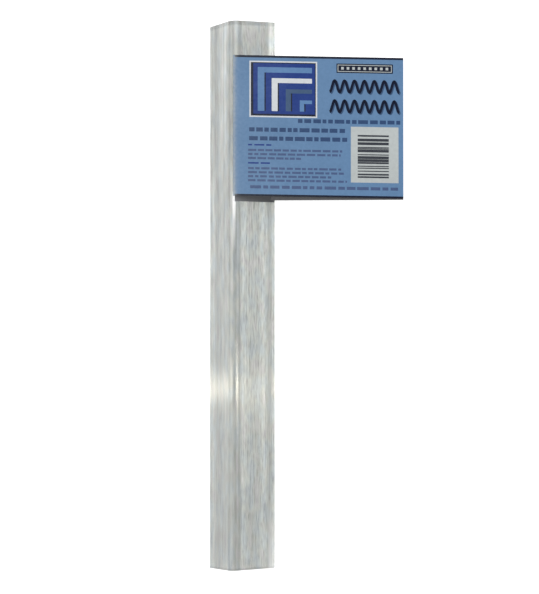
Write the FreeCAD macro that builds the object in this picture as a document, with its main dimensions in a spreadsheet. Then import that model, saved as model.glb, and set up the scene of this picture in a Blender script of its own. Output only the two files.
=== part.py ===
"""Corner guard moulding: a short length of clear L-section with a rounded nose, and its folded card label.

The moulding lies on the floor with its nose up, resting on the inner edge of each toe. It runs along Y.
The origin is on the floor below the nose, halfway along: the middle of the mouth that takes a wall's corner.
The card is folded beside the nose. Its flap lies under the fold, glued to the nose and the leg at +X.
Its printed panel stands clear of that leg, with a backing under it beyond the toe, and their free edge rests
on the floor.
"""

import FreeCAD, Part
import Sketcher

import math
import os

# Driving sizes: alias, value in millimetres or degrees, meaning.
SIZES = (
    ("guard_length", 211.7, "length of the moulding between its two sawn ends"),
    ("end_skew", 1.6, "degrees that both sawn ends are out of square, seen from above"),
    ("leg_width", 19.05, "outer face of a leg, from the sharp corner that the nose rounds off to the toe"),
    ("wall", 1.6, "thickness of both legs"),
    ("nose_radius", 3.2, "outer round where the legs meet"),
    ("inner_radius", 1.6, "inner round where the legs meet"),
    ("toe_radius", 0.5, "round on the outer edge of each toe"),
    ("card_width", 64.75, "printed panel of the card, from its fold to its free edge"),
    ("card_height", 54.2, "printed panel of the card, along the middle of the nose"),
    ("card_thickness", 0.35, "stock of the card and of its backing"),
    ("card_end_gap", 13.45, "from the moulding's end at +Y to the card, along the middle of the nose"),
    ("top_skew", 1.7, "degrees that the printed panel's end at +Y is out of square"),
    ("foot_skew", 1.3, "degrees that the printed panel's end at -Y is out of square"),
    ("fold_angle", 15.0, "degrees round the nose from its top to the fold"),
    ("fold_radius", 0.3, "inside of the fold"),
    ("flap_margin", 0.65, "from the flap's edge to the toe of the leg that it is glued to"),
    ("flap_drop", 2.1, "how far the flap goes past the panel's end at -Y, along the middle of the nose"),
    ("backing_start", 14.0, "from the fold to the backing's edge, along the underside of the panel"),
    ("backing_drop", 1.95, "how far the backing goes past the panel's end at -Y, measured the same way"),
    ("glue_line", 0.1, "film of glue between the flap and the moulding"),
)

# Both legs lean at this angle when the moulding rests on its toes, in degrees.
LEAN = 45
HALF_TURN = 180

# Ends and centre of an edge, as a sketch numbers them, and its own axes and an edge projected from another
# sketch, numbered down from -1.
START, END, CENTRE = range(1, 4)
X_AXIS, Y_AXIS, PROJECTED = range(-1, -4, -1)

# Formulas of the spreadsheet's sizes that more than one feature needs.
CORNER_HEIGHT = f"(sizes.leg_width + sizes.wall) * sin({LEAN} deg)"
NOSE_CENTRE_HEIGHT = f"{CORNER_HEIGHT} - sizes.nose_radius * sqrt(2)"
FLAP_UNDER_RADIUS = "sizes.nose_radius + sizes.glue_line"
FLAP_OVER_RADIUS = f"{FLAP_UNDER_RADIUS} + sizes.card_thickness"
FOLD_DIRECTION = "(90 - sizes.fold_angle) * 1 deg"
HALF_CARD = "sizes.card_height / 2"
TRIM_REACH = "(sizes.card_width + sizes.leg_width)"
TRIM_DEPTH = "sizes.card_width * tan((sizes.top_skew + sizes.foot_skew) * 1 deg)"
FLAP_INSET = "sizes.leg_width * tan(sizes.top_skew * 1 deg)"

doc = FreeCAD.newDocument("corner_guard_moulding")


def make_sheet():
    """Puts the driving sizes in a spreadsheet, one row each."""
    sheet = doc.addObject("Spreadsheet::Sheet", "sizes")
    for row, (alias, value, meaning) in enumerate(SIZES, start=1):
        sheet.set(f"A{row}", meaning)
        sheet.set(f"B{row}", str(value))
        sheet.setAlias(f"B{row}", alias)
    doc.recompute()
    return sheet


def point(x, z):
    """A point of a section, in the sketch's own plane."""
    return FreeCAD.Vector(x, z, 0)


def polar(centre, radius, from_top):
    """The point at that radius, turned clockwise from the top by an angle in degrees."""
    angle = math.radians(from_top)
    return point(centre.x + radius * math.sin(angle), centre.y + radius * math.cos(angle))


def arc(centre, radius, start_from_top, end_from_top):
    """An arc that runs anticlockwise between two angles turned clockwise from the top, in degrees."""
    circle = Part.Circle(centre, FreeCAD.Vector(0, 0, 1), radius)
    return Part.ArcOfCircle(circle, math.radians(90 - start_from_top), math.radians(90 - end_from_top))


def empty_sketch(body, name, role):
    """An empty sketch on one of the body's own planes, with X to the right, and Z or Y up."""
    sketch = body.newObject("Sketcher::SketchObject", name)
    plane = next(f for f in body.Origin.OriginFeatures if f.Role == role)
    sketch.AttachmentSupport = [(plane, "")]
    sketch.MapMode = "FlatFace"
    return sketch


def join(sketch, kind, first, first_end, second, second_end):
    """Joins the ends of two edges: kind is Coincident for a corner, or Tangent for a smooth run."""
    sketch.addConstraint(Sketcher.Constraint(kind, first, first_end, second, second_end))


def drive(sketch, formula, *constraint):
    """Adds a dimension and binds it to a formula of the spreadsheet's sizes."""
    index = sketch.addConstraint(Sketcher.Constraint(*constraint))
    sketch.setExpression(f"Constraints[{index}]", formula)


def make_corner_guard(size):
    """The extruded L: drawn with its sharp corner at the body's origin, then leant over on to its toes."""
    leg, wall = size["leg_width"], size["wall"]
    nose, inner, toe = size["nose_radius"], size["inner_radius"], size["toe_radius"]
    hollow = wall + inner

    body = doc.addObject("PartDesign::Body", "corner_guard")
    sketch = empty_sketch(body, "guard_section", "XZ_Plane")
    # Anticlockwise from the nose's end on the left leg, which hangs down; the other leg runs to the right.
    edges = [
        Part.LineSegment(point(0, -nose), point(0, -leg + toe)),
        arc(point(toe, -leg + toe), toe, -90, -HALF_TURN),
        Part.LineSegment(point(toe, -leg), point(wall, -leg)),
        Part.LineSegment(point(wall, -leg), point(wall, -hollow)),
        arc(point(hollow, -hollow), inner, 0, -90),
        Part.LineSegment(point(hollow, -wall), point(leg, -wall)),
        Part.LineSegment(point(leg, -wall), point(leg, -toe)),
        arc(point(leg - toe, -toe), toe, 90, 0),
        Part.LineSegment(point(leg - toe, 0), point(nose, 0)),
        arc(point(nose, -nose), nose, 0, -90),
    ]
    left_outer, left_toe, left_end, left_inner, inner_round = range(5)
    right_inner, right_end, right_toe, right_outer, nose_round = range(5, 10)
    sketch.addGeometry(edges, False)

    join(sketch, "Tangent", left_outer, END, left_toe, START)
    join(sketch, "Tangent", left_toe, END, left_end, START)
    join(sketch, "Coincident", left_end, END, left_inner, START)
    join(sketch, "Tangent", left_inner, END, inner_round, END)
    join(sketch, "Tangent", inner_round, START, right_inner, START)
    join(sketch, "Coincident", right_inner, END, right_end, START)
    join(sketch, "Tangent", right_end, END, right_toe, START)
    join(sketch, "Tangent", right_toe, END, right_outer, START)
    join(sketch, "Tangent", right_outer, END, nose_round, START)
    join(sketch, "Tangent", nose_round, END, left_outer, START)
    for edge in (left_inner, right_end):
        sketch.addConstraint(Sketcher.Constraint("Vertical", edge))
    for edge in (left_end, right_inner):
        sketch.addConstraint(Sketcher.Constraint("Horizontal", edge))
    sketch.addConstraint(Sketcher.Constraint("PointOnObject", left_outer, START, Y_AXIS))
    sketch.addConstraint(Sketcher.Constraint("PointOnObject", left_outer, END, Y_AXIS))
    sketch.addConstraint(Sketcher.Constraint("PointOnObject", right_outer, START, X_AXIS))
    drive(sketch, "sizes.nose_radius", "Radius", nose_round, nose)
    drive(sketch, "sizes.inner_radius", "Radius", inner_round, inner)
    for edge in (left_toe, right_toe):
        drive(sketch, "sizes.toe_radius", "Radius", edge, toe)
    drive(sketch, "sizes.wall", "DistanceX", left_inner, START, wall)
    drive(sketch, "-sizes.wall", "DistanceY", right_inner, START, -wall)
    drive(sketch, "sizes.leg_width", "DistanceX", right_end, START, leg)
    drive(sketch, "-sizes.leg_width", "DistanceY", left_end, START, -leg)

    pad = body.newObject("PartDesign::Pad", "guard_extrusion")
    pad.Profile = sketch
    pad.SideType = "Symmetric"
    pad.setExpression("Length", "sizes.guard_length")
    # The body is turned about Z by the skew. This direction turns back to Y, so only the ends are askew.
    pad.UseCustomVector = True
    pad.AlongSketchNormal = False
    pad.setExpression("Direction.x", f"sin(sizes.end_skew * 1 deg) * cos({LEAN} deg)")
    pad.setExpression("Direction.y", "cos(sizes.end_skew * 1 deg)")
    pad.setExpression("Direction.z", f"sin(sizes.end_skew * 1 deg) * sin({LEAN} deg)")
    body.Placement = FreeCAD.Placement(FreeCAD.Vector(), FreeCAD.Rotation(FreeCAD.Vector(0, 1, 0), LEAN))
    body.setExpression("Placement.Base.z", CORNER_HEIGHT)
    body.setExpression("Placement.Rotation.Yaw", "sizes.end_skew * 1 deg")
    return body


def nose_centre_of(size):
    """The centre of the nose's round, in the sections of the moulding as it lies."""
    corner_height = (size["leg_width"] + size["wall"]) * math.sin(math.radians(LEAN))
    return point(0, corner_height - size["nose_radius"] * math.sqrt(2))


def add_fold_line(sketch, nose_centre, fold_angle, length):
    """A construction line from the nose's centre through the fold, which starts where the flap ends."""
    end = polar(nose_centre, length, fold_angle)
    line = sketch.addGeometry(Part.LineSegment(nose_centre, end), True)
    sketch.addConstraint(Sketcher.Constraint("PointOnObject", line, START, Y_AXIS))
    drive(sketch, NOSE_CENTRE_HEIGHT, "DistanceY", line, START, nose_centre.y)
    drive(sketch, FOLD_DIRECTION, "Angle", line, math.radians(90 - fold_angle))
    return line


def draw_flap(body, size):
    """The section of the flap: wrapped round the nose from the fold, then straight down the leg."""
    glue, card, fold = size["glue_line"], size["card_thickness"], size["fold_angle"]
    nose_centre = nose_centre_of(size)
    under = size["nose_radius"] + glue
    over = under + card
    flat = size["leg_width"] - size["nose_radius"] - size["flap_margin"]
    down_leg = polar(point(0, 0), flat, 90 + LEAN)
    flat_under, flat_over = polar(nose_centre, under, LEAN), polar(nose_centre, over, LEAN)

    sketch = empty_sketch(body, "flap_section", "XZ_Plane")
    edges = [
        arc(nose_centre, under, LEAN, fold),
        Part.LineSegment(flat_under, flat_under + down_leg),
        Part.LineSegment(flat_under + down_leg, flat_over + down_leg),
        Part.LineSegment(flat_over + down_leg, flat_over),
        arc(nose_centre, over, LEAN, fold),
        Part.LineSegment(polar(nose_centre, over, fold), polar(nose_centre, under, fold)),
    ]
    round_under, flap_under, flap_end, flap_over, round_over, fold_face = range(6)
    sketch.addGeometry(edges, False)
    fold_line = add_fold_line(sketch, nose_centre, fold, over)

    join(sketch, "Tangent", round_under, START, flap_under, START)
    join(sketch, "Coincident", flap_under, END, flap_end, START)
    join(sketch, "Coincident", flap_end, END, flap_over, START)
    join(sketch, "Tangent", flap_over, END, round_over, START)
    join(sketch, "Coincident", round_over, END, fold_face, START)
    join(sketch, "Coincident", fold_face, END, round_under, END)
    join(sketch, "Coincident", round_under, CENTRE, fold_line, START)
    join(sketch, "Coincident", round_over, CENTRE, fold_line, START)
    join(sketch, "Coincident", round_over, END, fold_line, END)
    sketch.addConstraint(Sketcher.Constraint("PointOnObject", round_under, END, fold_line))
    sketch.addConstraint(Sketcher.Constraint("Perpendicular", flap_under, flap_end))
    drive(sketch, FLAP_UNDER_RADIUS, "Radius", round_under, under)
    drive(sketch, FLAP_OVER_RADIUS, "Radius", round_over, over)
    drive(sketch, f"-{LEAN} deg", "Angle", flap_under, math.radians(-LEAN))
    drive(sketch, "sizes.leg_width - sizes.nose_radius - sizes.flap_margin", "Distance", flap_under, flat)
    return sketch


def draw_panel(body, size):
    """The section of the fold and the printed panel, with the edge's name of the panel's underside.

    The panel runs straight from the fold, at the slope that brings the backing under it down to the floor.
    """
    card, width, fold = size["card_thickness"], size["card_width"], size["fold_angle"]
    inside = size["fold_radius"]
    outside = inside + card
    nose_centre = nose_centre_of(size)
    to_fold_centre = size["nose_radius"] + size["glue_line"] + card + inside
    fold_centre = polar(nose_centre, to_fold_centre, fold)
    # The backing's underside ends on the floor, and passes the fold's centre at this distance.
    backing_under = inside - card
    slope = math.asin(fold_centre.y / math.hypot(width, backing_under)) + math.atan2(backing_under, width)
    slope_degrees = math.degrees(slope)
    panel_start = polar(fold_centre, inside, slope_degrees)
    free_edge = polar(panel_start, width, 90 + slope_degrees)

    sketch = empty_sketch(body, "panel_section", "XZ_Plane")
    edges = [
        Part.LineSegment(polar(free_edge, card, slope_degrees), polar(fold_centre, outside, slope_degrees)),
        arc(fold_centre, outside, slope_degrees, fold - HALF_TURN),
        Part.LineSegment(polar(fold_centre, -outside, fold), polar(fold_centre, -inside, fold)),
        arc(fold_centre, inside, slope_degrees, fold - HALF_TURN),
        Part.LineSegment(panel_start, free_edge),
        Part.LineSegment(free_edge, polar(free_edge, card, slope_degrees)),
    ]
    panel_top, fold_outside, fold_face, fold_inside, panel_under, panel_end = range(6)
    sketch.addGeometry(edges, False)
    fold_line = add_fold_line(sketch, nose_centre, fold, to_fold_centre)
    rest = sketch.addGeometry(Part.LineSegment(free_edge, polar(free_edge, -card, slope_degrees)), True)

    join(sketch, "Tangent", panel_top, END, fold_outside, START)
    join(sketch, "Coincident", fold_outside, END, fold_face, START)
    join(sketch, "Coincident", fold_face, END, fold_inside, END)
    join(sketch, "Tangent", fold_inside, START, panel_under, START)
    join(sketch, "Coincident", panel_under, END, panel_end, START)
    join(sketch, "Coincident", panel_end, END, panel_top, START)
    join(sketch, "Coincident", fold_outside, CENTRE, fold_line, END)
    join(sketch, "Coincident", fold_inside, CENTRE, fold_line, END)
    sketch.addConstraint(Sketcher.Constraint("PointOnObject", fold_outside, END, fold_line))
    sketch.addConstraint(Sketcher.Constraint("PointOnObject", fold_inside, END, fold_line))
    join(sketch, "Coincident", panel_under, END, rest, START)
    sketch.addConstraint(Sketcher.Constraint("PointOnObject", rest, END, X_AXIS))
    sketch.addConstraint(Sketcher.Constraint("Perpendicular", panel_under, rest))
    sketch.addConstraint(Sketcher.Constraint("Perpendicular", panel_under, panel_end))
    sketch.addConstraint(Sketcher.Constraint("Parallel", panel_under, panel_top))
    drive(sketch, f"{FLAP_OVER_RADIUS} + sizes.fold_radius", "Distance", fold_line, to_fold_centre)
    drive(sketch, "sizes.fold_radius", "Radius", fold_inside, inside)
    drive(sketch, "sizes.fold_radius + sizes.card_thickness", "Radius", fold_outside, outside)
    drive(sketch, "sizes.card_thickness", "Distance", rest, card)
    drive(sketch, "sizes.card_width", "Distance", panel_under, width)
    return sketch, f"Edge{panel_under + 1}"


def draw_backing(body, size, panel_sketch, panel_under):
    """The section of the backing: a second ply against the panel's underside, up to the free edge."""
    doc.recompute()
    under = panel_sketch.Shape.getElement(panel_under)
    fold_end, free_edge = (vertex.Point for vertex in under.Vertexes)
    down_panel = (free_edge - fold_end).normalize()
    start = fold_end + down_panel * size["backing_start"]
    depth = down_panel.cross(FreeCAD.Vector(0, -1, 0)) * size["card_thickness"]
    corners = [point(p.x, p.z) for p in (start, free_edge, free_edge + depth, start + depth)]

    sketch = empty_sketch(body, "backing_section", "XZ_Plane")
    sketch.addExternal(panel_sketch.Name, panel_under)
    against, free_end, underside, inner_end = range(4)
    sketch.addGeometry([Part.LineSegment(a, b) for a, b in zip(corners, corners[1:] + corners[:1])], False)
    for edge, following in ((against, free_end), (free_end, underside), (underside, inner_end)):
        join(sketch, "Coincident", edge, END, following, START)
        sketch.addConstraint(Sketcher.Constraint("Perpendicular", edge, following))
    join(sketch, "Coincident", inner_end, END, against, START)
    join(sketch, "Coincident", against, END, PROJECTED, END)
    sketch.addConstraint(Sketcher.Constraint("PointOnObject", against, START, PROJECTED))
    length = "sizes.card_width - sizes.backing_start"
    drive(sketch, length, "Distance", against, size["card_width"] - size["backing_start"])
    drive(sketch, "sizes.card_thickness", "Distance", free_end, size["card_thickness"])
    return sketch


def extrude_card(body, name, sketch, towards_plus_y, towards_minus_y):
    """Carries a section of the card along Y by two lengths, each a formula, from the middle of the panel."""
    pad = body.newObject("PartDesign::Pad", name)
    pad.Profile = sketch
    pad.SideType = "Two sides"
    pad.setExpression("Length", towards_minus_y)
    pad.setExpression("Length2", towards_plus_y)


def draw_offcut(sketch, side, skew):
    """What the trim takes off one end of the panel, in plan: side is the sign of Y at that end."""
    near, far = "-sizes.leg_width", TRIM_REACH
    past = f"{side}({HALF_CARD} + 2 * {TRIM_DEPTH})"
    rise = f"tan(sizes.{skew} * 1 deg)"
    corners = [
        (near, f"{side}{HALF_CARD} + sizes.leg_width * {rise}"),
        (far, f"{side}{HALF_CARD} - {far} * {rise}"),
        (far, past),
        (near, past),
    ]
    places = [point(*map(sketch.evalExpression, corner)) for corner in corners]
    edges = [Part.LineSegment(a, b) for a, b in zip(places, places[1:] + places[:1])]
    numbers = sketch.addGeometry(edges, False)
    for number, following, corner, place in zip(numbers, numbers[1:] + numbers[:1], corners, places):
        join(sketch, "Coincident", number, END, following, START)
        drive(sketch, corner[0], "DistanceX", number, START, place.x)
        drive(sketch, corner[1], "DistanceY", number, START, place.y)


def trim_panel(body):
    """Cuts both ends of the panel's stock askew, straight down."""
    sketch = empty_sketch(body, "panel_offcuts", "XY_Plane")
    draw_offcut(sketch, "+", "top_skew")
    draw_offcut(sketch, "-", "foot_skew")
    pocket = body.newObject("PartDesign::Pocket", "panel_trim")
    pocket.Profile = sketch
    pocket.Type = "ThroughAll"
    pocket.SideType = "Symmetric"


def make_label_card(size):
    """The folded card: the panel with its fold, trimmed askew, then a backing and a flap with square ends."""
    body = doc.addObject("PartDesign::Body", "label_card")
    panel, panel_under = draw_panel(body, size)
    stock_end = f"{HALF_CARD} + {TRIM_DEPTH}"
    extrude_card(body, "panel_stock", panel, stock_end, stock_end)
    trim_panel(body)
    backing = draw_backing(body, size, panel, panel_under)
    backing_foot = f"{HALF_CARD} + sizes.backing_drop"
    extrude_card(body, "backing_stock", backing, f"{HALF_CARD} - {TRIM_DEPTH}", backing_foot)
    flap = draw_flap(body, size)
    flap_foot = f"{HALF_CARD} + sizes.flap_drop"
    extrude_card(body, "flap_stock", flap, f"{HALF_CARD} - {FLAP_INSET}", flap_foot)
    middle = "(sizes.guard_length - sizes.card_height) / 2 - sizes.card_end_gap"
    body.setExpression("Placement.Base.y", middle)
    return body


def check(pieces):
    """Stops before anything is written if a feature failed or a piece isn't a sound solid."""
    for item in doc.Objects:
        if "Invalid" in item.State or "Error" in item.State:
            raise RuntimeError(f"{item.Name} failed to build: {item.State}")
    for piece in pieces:
        if piece.Shape.isNull() or not piece.Shape.isValid() or len(piece.Shape.Solids) != 1:
            raise RuntimeError(f"{piece.Label} isn't one sound solid")


def main():
    sheet = make_sheet()
    size = {alias: float(getattr(sheet, alias)) for alias, _, _ in SIZES}
    pieces = [make_corner_guard(size), make_label_card(size)]
    doc.recompute()
    check(pieces)
    os.makedirs("parts", exist_ok=True)
    for piece in pieces:
        piece.Shape.exportStep(f"parts/{piece.Label}.step")
        box = piece.Shape.BoundBox
        print(f"{piece.Label}: {box.XMin:.2f}..{box.XMax:.2f}, {box.YMin:.2f}..{box.YMax:.2f}, "
              f"{box.ZMin:.3f}..{box.ZMax:.2f} mm, {piece.Shape.Volume:.1f} mm3")


main()
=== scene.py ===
import math
from functools import partial
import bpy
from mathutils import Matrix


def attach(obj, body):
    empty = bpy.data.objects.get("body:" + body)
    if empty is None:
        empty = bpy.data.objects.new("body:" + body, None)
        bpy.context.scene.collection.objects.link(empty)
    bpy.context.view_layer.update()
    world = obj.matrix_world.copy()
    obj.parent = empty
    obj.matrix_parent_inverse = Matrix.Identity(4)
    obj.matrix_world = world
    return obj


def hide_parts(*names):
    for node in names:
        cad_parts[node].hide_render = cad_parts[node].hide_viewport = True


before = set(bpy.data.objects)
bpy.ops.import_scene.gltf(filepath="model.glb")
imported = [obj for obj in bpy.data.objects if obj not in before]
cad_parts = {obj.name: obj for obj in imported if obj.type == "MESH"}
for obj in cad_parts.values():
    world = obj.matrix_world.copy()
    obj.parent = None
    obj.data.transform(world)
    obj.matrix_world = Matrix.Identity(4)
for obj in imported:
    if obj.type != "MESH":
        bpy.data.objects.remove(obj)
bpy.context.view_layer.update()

from types import SimpleNamespace

import bpy
import numpy as np
from bpy.props import FloatProperty, FloatVectorProperty, IntProperty, PointerProperty
from mathutils import Vector

bl_info = {
    "name": "Corner guard moulding",
    "version": (1, 0, 0),
    "blender": (4, 5, 0),
    "location": "View3D > Sidebar > Corner guard",
    "description": "Dresses a clear corner guard and its folded card label, and sets the stage for them",
    "category": "Object",
}

MM = 0.001
LEAN = math.radians(45)
PHOTO_WIDTH, PHOTO_HEIGHT = 539, 594
# Width of the camera's sensor, in mm.
SENSOR = 36.0
WHITE = (1.0, 1.0, 1.0, 1.0)

SECTION_UV = "section"
GLOW_UV = "glow"
PRINT_COLOUR = "print_colour"
# attribute for the fold's rubbed edge and the painted light that pales the panel near the fold
FOLD_RUB_AND_LIGHT = "fold_rub_and_light"

# Edges that turn by more than the first angle shade as sharp, and a bevel breaks those past the second.
SHARP_DEGREES = 35
BROKEN_DEGREES = 50
# Rows of the moulding's mesh along Y.
GUARD_ROWS = 55

# Brightness of the white floor as it shows through untinted plastic, and of what the plastic reflects.
FLOOR_SHOWN = 1.01
REFLECTED = 0.06

# Bands along the moulding as (place, grey). The place goes across the section, from the -X toe at 0 over
# the nose's middle at 0.5 to the +X toe at 1. The bright edges of the toes are painted highlights, and the
# nose's pale line and dark lines are painted highlight and painted shade, standing in for the light that the
# round reflects and bends.
BANDS = (
    # painted highlight on the edge of the -X toe
    (0.045, 215), (0.06, 190),                            # bright edge of the -X toe
    (0.12, 200), (0.18, 180), (0.35, 190), (0.46, 190),   # -X leg: a pale band, a dull one, and plain
    # painted highlight and painted shade: the nose's pale line and its two dark lines
    (0.485, 205), (0.53, 180), (0.55, 190), (0.57, 175),  # nose: a pale line and two dark ones
    (0.605, 205), (0.69, 190), (0.78, 190), (0.85, 205),  # +X leg: plain between two pale bands
    # painted highlight on the edge of the +X toe
    (0.915, 175), (0.96, 205),                            # dull band and bright edge of the +X toe
)

# The same from the card's foot to the +Y end. Here too the bright edges of the toes are painted highlights,
# and the nose's pale line and dark lines are painted highlight and painted shade.
HEAD_BANDS = (
    # painted highlight on the edge of the -X toe
    (0.045, 205), (0.06, 190),                            # bright edge of the -X toe
    (0.18, 180), (0.25, 190), (0.4, 205),                 # -X leg: a dull band, and paler to the nose
    # painted shade: two dark lines on the nose
    (0.46, 180), (0.485, 190), (0.5, 175),                # nose: two dark lines
    # painted highlight and painted shade: a pale line and a dark one on the nose
    (0.54, 200), (0.57, 165),                             # nose: a pale line and a dark one
    (0.61, 185), (0.89, 185),                             # +X leg: plain
    # painted highlight on the edge of the +X toe
    (0.925, 230), (0.96, 210),                            # bright edge of the +X toe
)

# Where marks begin and are full: the +X leg's grain and the clear toe in metres across from the nose's
# middle, and the stretch above the card's foot as a share of the way from the -Y end.
GRAIN_START = (1.5 * MM, 4 * MM)
TOE_START = (15.0 * MM, 15.7 * MM)
HEAD_START = (0.68, 0.78)

# Patterns in the plastic: size as (across, along), the run of a die line, and how much the grain varies
# the roughness.
SWAY_SIZE = (4 * MM, 24 * MM)
MOTTLE_SIZE = (1.8 * MM, 9 * MM)
TINT_SIZE = (3 * MM, 8 * MM)
LINE_RUN = 120 * MM
GRAIN_HAZE = 0.06

# Tints over the level of their pattern: bluish, greenish, yellowish and almost plain.
TINTS = (
    (0.3, (0.84, 0.96, 1.0)), (0.45, (0.9, 1.0, 0.96)),
    (0.58, (0.96, 1.0, 0.88)), (0.72, (0.97, 0.96, 0.94)),
)

# Painted light along the moulding, as levels from the -Y end at 0 to the +Y end at 1: both legs grow paler
# towards the +Y end, and the -X leg and the nose darken again at the +Y end.
LEFT_PAINTED_LIGHT = ((0.05, 0.64), (0.8, 0.94), (0.91, 0.94), (1.0, 0.8))
RIGHT_PAINTED_LIGHT = ((0.05, 0.76), (0.55, 0.95), (0.8, 1.0))

# Painted shade at the sawn ends, darker bands where the ends catch less light, as (side along Y, distance
# from the end where it begins, where it is full, level).
SHADED_SAWN_ENDS = ((1, 2.0 * MM, 1.3 * MM, 0.58), (-1, 1.1 * MM, 0.5 * MM, 0.65))

# Spots mixed towards white as (share of the way, amount): the +X toe, clear along it from the -Y end, and a
# painted highlight along and across the nose at the card's foot.
CLEAR_TOE = ((0.0, 0.2), (0.12, 0.0))
HIGHLIGHT_BY_CARD = ((0.58, 0.0), (0.635, 0.25), (0.665, 0.9), (0.68, 0.9), (0.69, 0.0))
HIGHLIGHT_ON_NOSE = ((0.492, 0.0), (0.504, 1.0), (0.52, 1.0), (0.535, 0.0))

# Roughness that scuffs add across the section, beside the +X toe.
SCUFFS = ((0.865, 0.0), (0.885, 0.25), (0.925, 0.25), (0.94, 0.0))

# Print on the panel, in mm from the fold's top. A box is (left, right, top, bottom), and so are its margins.
TOP_BORDER, FOOT_BORDER = 0.85, 0.7
PICTURE = (5.7, 31.8, 2.1, 23.8)
PICTURE_OUTLINE = 0.55
PICTURE_FIELD = (1.5, 0.9, 0.9, 1.3)
# Nested corners in the picture: place of the first, step to the next, room kept at right and bottom, band of
# the first, how much finer the next is, a flat band against an upright one, and the dark edge beside it.
CORNER_PLACE, CORNER_STEP, CORNER_ROOM = (3.2, 2.4), (5.4, 4.2), (2.0, 2.4)
CORNER_BAND, CORNER_FINER, CORNER_FLAT, CORNER_EDGE = 2.6, 0.3, 0.8, 0.5
# Plate: margins of its pale line's two edges, how many squares it has, their size, and their margin at its
# ends.
PLATE = (39.2, 60.8, 2.6, 6.2)
PLATE_LINE = (0.45, 0.7)
SQUARE_COUNT, SQUARE, SQUARE_MARGIN = 9, 1.0, 1.8
# Code: its panel, left and right of the bars, top of the first, widths of bars and gaps, how many edges, how
# far the ink spreads, and the seed.
CODE_PANEL = (44.7, 62.9, 26.9, 48.4)
CODE_REACH, CODE_TOP = (47.3, 59.2), 29.2
CODE_STEPS, CODE_EDGES, CODE_SPREAD, CODE_SEED = (0.25, 0.5, 0.9), 30, 0.08, 7

# Lines of print as (left, right, top, height, pitch of the words, seed).
HEADINGS = (
    (24.4, 63.6, 24.3, 1.5, 2.6, 11),
    (5.6, 43.4, 27.8, 1.6, 2.6, 20),
    (5.6, 43.4, 31.2, 1.6, 2.6, 21),
)
FOOT_LINE = (6.0, 63.0, 50.1, 1.2, 3.0, 31)
# Words and gaps as shares of the pitch, from the least to the most, and the least stump of a word.
WORD_LENGTHS, WORD_GAPS, WORD_STUMP = (0.55, 1.5), (0.2, 0.32), 0.2
# Paragraphs as (top of the heading, lengths of the lines). Then their left edge, length of the heading, drop
# to the first line, pitch of the lines, (height, pitch of the words) of heading and lines, and first seed.
PARAGRAPHS = ((34.2, (36.2, 35.6, 20.4)), (41.2, (35.8, 36.8, 32.0, 38.0)))
TEXT_LEFT, TEXT_HEADING, TEXT_DROP, TEXT_PITCH = 5.2, 9.0, 1.9, 1.55
SMALL_HEADING, SMALL_PRINT, SMALL_PRINT_SEED = (0.6, 2.8), (0.85, 2.3), 40

# Waves on the panel, in mm: reach from the fold, foot of each, height, humps and steps in each hump, half the
# width of a stroke, and how far its shade lies beside it.
WAVE_REACH, WAVE_FEET, WAVE_HEIGHT = (36.6, 63.2), (13.6, 21.3), 4.4
WAVE_HUMPS, HUMP_STEPS = 7, 36
WAVE_HALF, SHADE_SHIFT = 0.5, 0.4
# Top and root of a layer of ink, over the face of the card.
INK_TOP, INK_ROOT = 0.03 * MM, -0.05 * MM

# The card's mesh: steps round the fold, along the flap and over the backing, the widest cell in mm, and how
# much of the flap's first step lies between the panel's cut and the flap's own.
FOLD_STEPS, FLAP_STEPS, BACKING_STEPS = 14, 8, 12
CELL = 2.5
CUT_SHARE = 0.02
# Grid lines for the rubbed edge beside the fold, in mm from it, and fades as (amount, distance): the rubbed
# edge of the fold fades at once, and painted light pales the panel near the fold and fades far across it.
WEAR_LINES = (0.3, 0.7, 1.2, 1.8)
RUB_AND_LIGHT_FADES = ((1.4, 0.6 * MM), (0.25, 25 * MM))

# The card's finish: fibres and clouds to the metre, shades over the mottle, the pale of rubbed card, which
# the painted light by the fold mixes towards too, and the roughness of ink and of bare board.
FIBRE_SCALE, CLOUD_SCALE = 900.0, 90.0
PAPER_SHADES = ((0.3, 0.92), (0.7, 1.08))
RUBBED_AND_LIT = (196, 200, 198)
INK_ROUGH, BOARD_ROUGH = 0.48, 0.78

# The stage, in metres: rings of the floor, and the softbox.
FLOOR_RINGS = (0.3, 0.8, 2.0, 5.0)
SOFTBOX_PLACE, SOFTBOX_TARGET, SOFTBOX_SIZE = (0.15, 0.55, 1.1), (0.02, 0, 0), 0.9

# Light strips that show in the moulding: name, brightness, share of the usual width, how far it is moved
# along Y, and path away from the moulding as (x, z), in metres. A strip ends at GLOW_REACH widths.
GLOWS = (
    ("glow_left_floor", 3.1, 0.95, 0.0, ((-0.014, 0.0005), (-0.3, 0.0005))),
    ("glow_left_high", 7.0, 1.0, 0.0, ((-0.3, 0.001), (-0.3, 0.3))),
    ("glow_left_top", 14.0, 0.8, 0.0, ((-0.3, 0.3), (-0.06, 0.45))),
    ("glow_right_floor", 20.0, 0.9, -0.001, ((0.016, 0.0005), (0.3, 0.0005))),
    ("glow_right", 7.0, 0.9, -0.0015, ((0.3, 0.001), (0.3, 0.17))),
    ("glow_right_high", 46.0, 0.6, 0.0, ((0.3, 0.17), (0.3, 0.35), (0.2, 0.45))),
)
GLOW_REACH = 3


def linear(srgb):
    """Linear light from 0 to 255 screen values, by the sRGB curve."""
    level = np.asarray(srgb, float) / 255
    return tuple(np.where(level <= 0.04045, level / 12.92, ((level + 0.055) / 1.055) ** 2.4))


def length(name, description, default):
    """A property in metres, shown in the scene's unit of length."""
    return FloatProperty(name=name, description=description, default=default, unit="LENGTH", precision=5)


def angle(name, description, degrees):
    """A property in radians, shown in degrees."""
    return FloatProperty(name=name, description=description, default=math.radians(degrees), unit="ROTATION")


def number(name, description, default, least=0):
    """A plain number with a least value."""
    return FloatProperty(name=name, description=description, default=default, min=least)


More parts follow.
